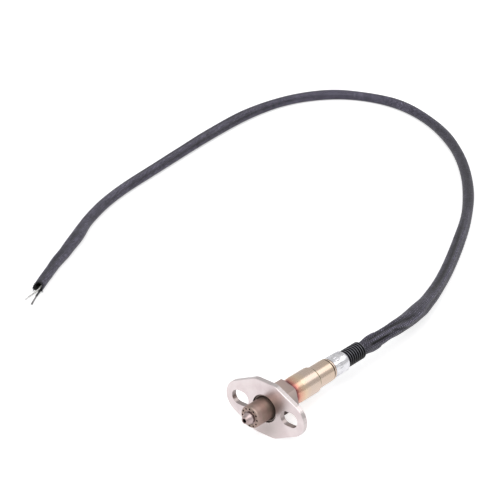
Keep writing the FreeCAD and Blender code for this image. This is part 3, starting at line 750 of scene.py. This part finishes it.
def mouldedEpdmRubber():
    # Moulded EPDM rubber: near black and faintly glossy; a painted highlight pales each rib's top.
    material, tree = newMaterial("mouldedEpdmRubber")
    along = alongAxis(tree, *headSpans["boot"])
    turn = addNode(tree, "Math", {0: along, 1: 2 * math.pi * bootRibs,
                                  2: -2 * math.pi * bootFirstRib}, operation="MULTIPLY_ADD")
    wave = addNode(tree, "Math", {0: turn}, operation="COSINE")
    crest = addNode(tree, "MapRange", {"Value": wave, "From Min": 0.55, "From Max": 0.95})
    facing = axesOf(tree, "Normal")
    upward = addNode(tree, "MapRange", {"Value": facing["Z"], "From Min": -0.1, "From Max": 0.8})
    # painted highlight: paler on each crest where it faces up
    paintedLight = addNode(tree, "Math", {0: crest, 1: upward}, operation="MULTIPLY")
    colour = addNode(tree, "Mix", {0: paintedLight, 6: "#050507", 7: "#7A7A83"}, data_type="RGBA")
    mark = addNode(tree, "TexNoise", {"Vector": objectPlace(tree), "Scale": 1 / (0.8 * mm),
                                      "Detail": 4.0})
    return skinWith(material, colour, 0.26, mark, 0.03 * mm, 0.3, {"Specular IOR Level": 0.22})


turnedLines = (1.0, 0.05, 0.05)   # stretch of marks that run round the axis
drawnLines = (0.05, 1.0, 1.0)     # and along it
whitePtfe = dullStuff("extrudedWhitePtfe", "#E2E1DD", "#F1F0EC", 0.36, 1.5 * mm, 0.02 * mm)
blackPtfe = dullStuff("extrudedBlackPtfe", "#141416", "#222226", 0.34, 1.5 * mm, 0.02 * mm)
tinnedCopper = plainMetal("tinnedCopperStrands", "#8E8C8E", "#BDBABA", 0.32, 0.6 * mm)
brightTin = plainMetal("brightTinnedStrands", "#DCDAD9", "#F4F3F2", 0.30, 0.6 * mm)
contactNickel = plainMetal("stampedContactNickel", "#9E978C", "#C2BBAE", 0.30, 1.2 * mm,
                           drawnLines)
finishes = {
    "flange": tumbledNickelPlate(),
    "sensor_housing": turnedHousingSteel(),
    "outer_protection_tube": oxidisedTubeSteel(),
    "inner_protection_tube": formedNoseSteel(),
    "protective_sleeve": strawTintedStainless(),
    "crimp_sleeve": brightStainless(),
    "ribbed_boot": mouldedEpdmRubber(),
    "zirconia_thimble": dullStuff("sinteredZirconia", "#D8CDB6", "#EDE5D2", 0.42, 2 * mm,
                                  0.03 * mm),
    "front_gasket": plainMetal("softSteelGasket", "#77736F", "#9B9792", 0.38, 0.8 * mm),
    "talc_packing": dullStuff("pressedTalc", "#8E8C82", "#B4B2A8", 0.9, 0.5 * mm, 0.08 * mm),
    "ceramic_bush": dullStuff("firedSteatite", "#DDD9CF", "#ECE9E1", 0.5, 1.2 * mm, 0.03 * mm),
    "compression_ring": plainMetal("turnedRingSteel", "#84817F", "#A6A3A1", 0.34, 0.5 * mm,
                                   turnedLines),
    "heater_rod": dullStuff("aluminaHeaterRod", "#E4E0DA", "#F3F1ED", 0.45, 1 * mm, 0.02 * mm),
    "heater_terminal_1": contactNickel,
    "heater_terminal_2": contactNickel,
    "signal_contact": contactNickel,
    "disc_spring": plainMetal("hardenedSpringSteel", "#4E4B4C", "#716D6D", 0.34, 0.8 * mm,
                              turnedLines),
    "contact_holder": dullStuff("steatiteHolder", "#DAD5CA", "#EAE6DD", 0.52, 1.4 * mm, 0.03 * mm),
    "cable_grommet": dullStuff("fluoroRubberGrommet", "#1A1614", "#2A2421", 0.55, 0.8 * mm,
                               0.04 * mm),
    "signal_wire": blackPtfe,
    "heater_wire_1": whitePtfe,
    "heater_wire_2": whitePtfe,
}
for node, finish in finishes.items():
    dress(nodes[node], finish)
print("carried parts finished")


def startPiece(name):  # the primitive just added becomes a piece in edit mode
    piece = bpy.context.object
    piece.name = name
    piece.data.name = name
    bpy.ops.object.transform_apply(location=True, rotation=True, scale=True)
    bpy.ops.object.mode_set(mode="EDIT")
    return piece


def selectWhere(piece, kind, test):  # "verts" or "faces" whose middle passes the test
    shape = bmesh.from_edit_mesh(piece.data)
    bpy.ops.mesh.select_all(action="DESELECT")
    bpy.ops.mesh.select_mode(type={"verts": "VERT", "faces": "FACE"}[kind])
    for item in getattr(shape, kind):
        item.select = bool(test(item.co if kind == "verts" else item.calc_center_median()))
    shape.select_flush_mode()
    bmesh.update_edit_mesh(piece.data)


def cutAcross(places):  # rings of edges round the sensor's axis, at these places along it
    for place in places:
        bpy.ops.mesh.select_all(action="SELECT")
        bpy.ops.mesh.bisect(plane_co=(place, 0, 0), plane_no=(1, 0, 0))


def addModifier(piece, kind, **settings):  # added and applied
    modifier = piece.modifiers.new(kind.lower(), kind)
    for name, value in settings.items():
        setattr(modifier, name, value)
    bpy.ops.object.modifier_apply(modifier=modifier.name)


def angleRoundAxis(place):  # degrees from +Y towards +Z
    return math.degrees(math.atan2(place.z, place.y)) % 360


# The bright sleeve that eight jaws press on to the grommet, with the bead at its front.
crimp = {
    "front": -60.5 * mm,
    "rear": -83.9 * mm,
    "radius": 7.75 * mm,
    "wall": 0.5 * mm,
    "segments": 96,
    "jaws": 8,
    "pressFront": -71.5 * mm,
    "pressRear": -77.5 * mm,
    "pressDepth": 0.3 * mm,
    "padShare": 0.66,             # of a jaw's sector that its pad covers
    "padRows": 3,                 # of faces along a pad
    "padMargin": 0.9 * mm,
    "beadFront": -67.7 * mm,
    "beadRear": -68.5 * mm,
    "beadHeight": 0.4 * mm,
    "beadSlope": 0.25,            # share of the bead's length on each side
    "edgeRound": 0.16 * mm,
    "sharpAngle": 28,             # degrees at an edge that is rounded
    "smoothAngle": 40,            # and below which two faces are shaded as one
}


def addCrimpSleeve():
    bpy.ops.object.select_all(action="DESELECT")
    length = crimp["front"] - crimp["rear"]
    bpy.ops.mesh.primitive_cylinder_add(
        vertices=crimp["segments"], radius=crimp["radius"], depth=length, end_fill_type="NOTHING",
        location=(crimp["rear"] + length / 2, 0, 0), rotation=(0, math.pi / 2, 0))
    piece = startPiece("crimpSleeve")
    bead = crimp["beadFront"] - crimp["beadRear"]
    slope = crimp["beadSlope"] * bead
    cutAcross([crimp["beadFront"], crimp["beadFront"] - slope, crimp["beadRear"] + slope,
               crimp["beadRear"], crimp["pressFront"], crimp["pressRear"]])
    row = (crimp["pressFront"] - crimp["pressRear"]) / crimp["padRows"]
    cutAcross([crimp["pressFront"] - row * i for i in range(1, crimp["padRows"])])
    tall = 1 + crimp["beadHeight"] / crimp["radius"]
    selectWhere(piece, "verts", lambda place: crimp["beadRear"] + slope / 2 < place.x
                < crimp["beadFront"] - slope / 2)
    bpy.ops.transform.resize(value=(1, tall, tall), center_override=(0, 0, 0))
    sector = 360 / crimp["jaws"]
    selectWhere(piece, "faces", lambda place: crimp["pressRear"] < place.x < crimp["pressFront"]
                and abs(angleRoundAxis(place) % sector - sector / 2)
                < crimp["padShare"] * sector / 2)
    bpy.ops.mesh.inset(thickness=crimp["padMargin"], depth=-crimp["pressDepth"])
    bpy.ops.object.mode_set(mode="OBJECT")
    addModifier(piece, "SOLIDIFY", thickness=crimp["wall"], offset=-1.0)
    addModifier(piece, "BEVEL", width=crimp["edgeRound"], segments=2, limit_method="ANGLE",
                angle_limit=math.radians(crimp["sharpAngle"]))
    bpy.ops.object.shade_smooth_by_angle(angle=math.radians(crimp["smoothAngle"]))
    finishPiece(piece, finishes["crimp_sleeve"], "bright_steel", "crimp_sleeve")
    print("crimp sleeve made")


addCrimpSleeve()


# The seam where the laser closed the protective sleeve on to the housing.
seam = {
    "place": -22.75 * mm,
    "radius": 8.95 * mm,
    "thickness": 0.42 * mm,
    "sidesAcross": 12,
    "ripples": 60,
    "rippleHeight": 0.06 * mm,
    "rippleShare": 0.55,          # of the way from one ripple to the next
}


def weldSeamSteel():
    # Steel that melted and froze in ripples: dark purple to brown oxide on a bright skin.
    return plainMetal("weldSeamSteel", "#3C2028", "#8A4A48", 0.34, 0.9 * mm)


def addWeldSeam():
    bpy.ops.object.select_all(action="DESELECT")
    bpy.ops.mesh.primitive_torus_add(
        major_segments=4 * seam["ripples"], minor_segments=seam["sidesAcross"],
        major_radius=seam["radius"], minor_radius=seam["thickness"],
        location=(seam["place"], 0, 0), rotation=(0, math.pi / 2, 0))
    piece = startPiece("weldSeam")
    step = 360 / seam["ripples"]
    nudge = Vector((0, 1e-7, 1e-7))  # keeps corners off the edges of the test
    selectWhere(piece, "verts", lambda place: place.yz.length > seam["radius"]
                and angleRoundAxis(place + nudge) % step < seam["rippleShare"] * step)
    swell = 1 + seam["rippleHeight"] / seam["radius"]
    bpy.ops.transform.resize(value=(1, swell, swell), center_override=(0, 0, 0))
    bpy.ops.object.mode_set(mode="OBJECT")
    bpy.ops.object.shade_smooth()
    finishPiece(piece, weldSeamSteel(), "straw_tinted_steel")
    print("weld seam made")


addWeldSeam()


# The three wires in the open end of the sleeve, each with its bare strands. Places are
# (ahead of the mouth, sideways, up) in millimetres, as the bundle's radius is.
heaterWire = {
    "radius": 0.6 * mm, "strands": 7, "bundle": 0.34,
    "cover": whitePtfe, "core": brightTin, "slot": "white_insulation",
}
wires = {
    "signalWireEnd": {
        "covered": [(-26, 0.0, -0.6), (-10, 1.6, -1.6), (-1, 1.9, -2.4), (5, 1.6, -2.7),
                    (10.8, 1.5, -3.0)],
        "bare": [(9.8, 1.55, -2.95), (17, 1.8, -3.4), (23.2, 2.0, -4.1)],
        "radius": 0.85 * mm, "strands": 13, "bundle": 0.6, "splay": 0.12,
        "cover": blackPtfe, "core": tinnedCopper, "slot": "black_insulation",
        "nodes": ("signal_wire_end", "signal_wire_strands"),
    },
    "heaterWireEndA": {
        "covered": [(-26, -1.2, -1.0), (-10, 0.1, -1.6), (-1, 0.4, -2.0), (2.6, -0.7, -2.5),
                    (6.8, -1.9, -3.0)],
        "bare": [(6.0, -1.7, -2.9), (10, -3.2, -3.4), (17.2, -5.5, -4.0)],
        "splay": 0.9, "nodes": ("heater_wire_1_end", "heater_wire_1_strands"), **heaterWire,
    },
    "heaterWireEndB": {
        "covered": [(-26, 0.2, -2.4), (-10, 0.2, -2.9), (-1, -0.6, -3.3), (2.6, -1.9, -3.6),
                    (4.6, -2.7, -3.8)],
        "bare": [(4.0, -2.5, -3.75), (8, -3.9, -4.0), (12.0, -5.0, -4.2)],
        "splay": 0.6, "nodes": ("heater_wire_2_end", "heater_wire_2_strands"), **heaterWire,
    },
}
strand = {
    "seed": 7,
    "radius": 0.14 * mm,
    "twist": 0.7,                 # radians from one control point to the next
    "spread": (0.2, 1.0),         # share of the splay that a strand takes at each point
    "shortfall": 1.6,             # millimetres that a strand may end before the longest
    "clearance": 1.2,             # radii from its middle to the floor
}
mouthSteps = 11                   # of the route, that give the mouth its direction
mouthCentre = route[-1]
mouthAhead = (mouthCentre - route[-1 - mouthSteps]).normalized()
mouthAside = Vector((-mouthAhead.y, mouthAhead.x, 0)).normalized()
mouthUp = mouthAhead.cross(mouthAside)


def fromMouth(place):  # a place given from the sleeve's mouth, in the row frame
    ahead, sideways, up = place
    return mouthCentre + (mouthAhead * ahead + mouthAside * sideways + Vector((0, 0, up))) * mm


tubeSmoothAngle = 50              # degrees, so that the cut ends stay sharp


def addTubes(name, lines, radius, resolution, steps):  # round tubes along smooth curves
    bpy.ops.object.select_all(action="DESELECT")
    bpy.ops.curve.primitive_nurbs_path_add()
    piece = bpy.context.object
    piece.name = name
    data = piece.data
    data.splines.clear()
    for line in lines:
        addSpline(data, line, steps)
    data.bevel_depth = radius
    data.bevel_resolution = resolution
    data.use_fill_caps = True
    bpy.ops.object.convert(target="MESH")
    piece = bpy.context.object
    piece.data.name = name
    bpy.ops.object.shade_smooth_by_angle(angle=math.radians(tubeSmoothAngle))
    return piece


def addWireEnds():
    draw = random.Random(strand["seed"])
    made = []
    for name, wire in wires.items():
        covered = addTubes(name, [[fromMouth(place) for place in wire["covered"]]],
                           wire["radius"], resolution=6, steps=8)
        finishPiece(covered, wire["cover"], wire["slot"], wire["nodes"][0])
        lines = []
        last = len(wire["bare"]) - 1
        for i in range(wire["strands"]):
            turn = 2 * math.pi * i / (wire["strands"] - 1)
            out = wire["bundle"] if i else 0.0
            line = []
            for step, (ahead, sideways, up) in enumerate(wire["bare"]):
                spread = out * (1 + wire["splay"] * step * draw.uniform(*strand["spread"]))
                twist = turn + strand["twist"] * step
                cut = draw.uniform(-strand["shortfall"], 0.0) * (step == last)
                place = fromMouth((ahead + cut, sideways + spread * math.cos(twist),
                                   up + spread * math.sin(twist)))
                line.append(aboveFloor(place, strand["clearance"] * strand["radius"]))
            lines.append(line)
        strands = addTubes(name + "Strands", lines, strand["radius"], resolution=2, steps=6)
        finishPiece(strands, wire["core"], "tinned_copper", wire["nodes"][1])
        made += [covered, strands]
    print("wire ends made")
    return made


wireEnds = addWireEnds()


# Loose filaments where the braid was cut.
fray = {
    "seed": 11,
    "threads": 46,
    "scatter": 0.3,               # share of the way to the next thread
    "radius": 0.11 * mm,
    "shortest": 0.8 * mm,
    "longest": 3.2 * mm,
    "flare": 0.35,                # most that a thread leans out, as a share of its length
    "tuck": -0.25,                # and in
    "sideLean": 0.3,
    "bend": (0.5, 0.15),          # share of its length and of its lean at its middle point
    "rootDepth": 0.8 * mm,
    "clearance": 1.2,             # radii from its middle to the floor
}


def addFray():
    draw = random.Random(fray["seed"])
    lines = []
    mouthDistance = lead["girth"][-1][0]
    radius = min(girthAt(mouthDistance)) - lead["wall"] / 2
    side, scatter = fray["sideLean"], fray["scatter"]
    midway, midLean = fray["bend"]
    for i in range(fray["threads"]):
        angle = 360 * (i + draw.uniform(-scatter, scatter)) / fray["threads"]
        turn = math.radians(angle)
        out = mouthAside * math.cos(turn) + mouthUp * math.sin(turn)
        root = mouthCentre + out * radius + mouthAhead * (mouthReach(angle) - fray["rootDepth"])
        length = draw.uniform(fray["shortest"], fray["longest"]) + fray["rootDepth"]
        lean = (mouthAside * draw.uniform(-side, side)
                + out * draw.uniform(fray["tuck"], fray["flare"]))
        line = [root, root + mouthAhead * length * midway + lean * length * midLean,
                root + mouthAhead * length + lean * length]
        lines.append([aboveFloor(place, fray["clearance"] * fray["radius"]) for place in line])
    threads = addTubes("frayedThreads", lines, fray["radius"], resolution=1, steps=4)
    finishPiece(threads, polyester, "black_braid")
    print("frayed threads made")
    return threads


frayedThreads = addFray()
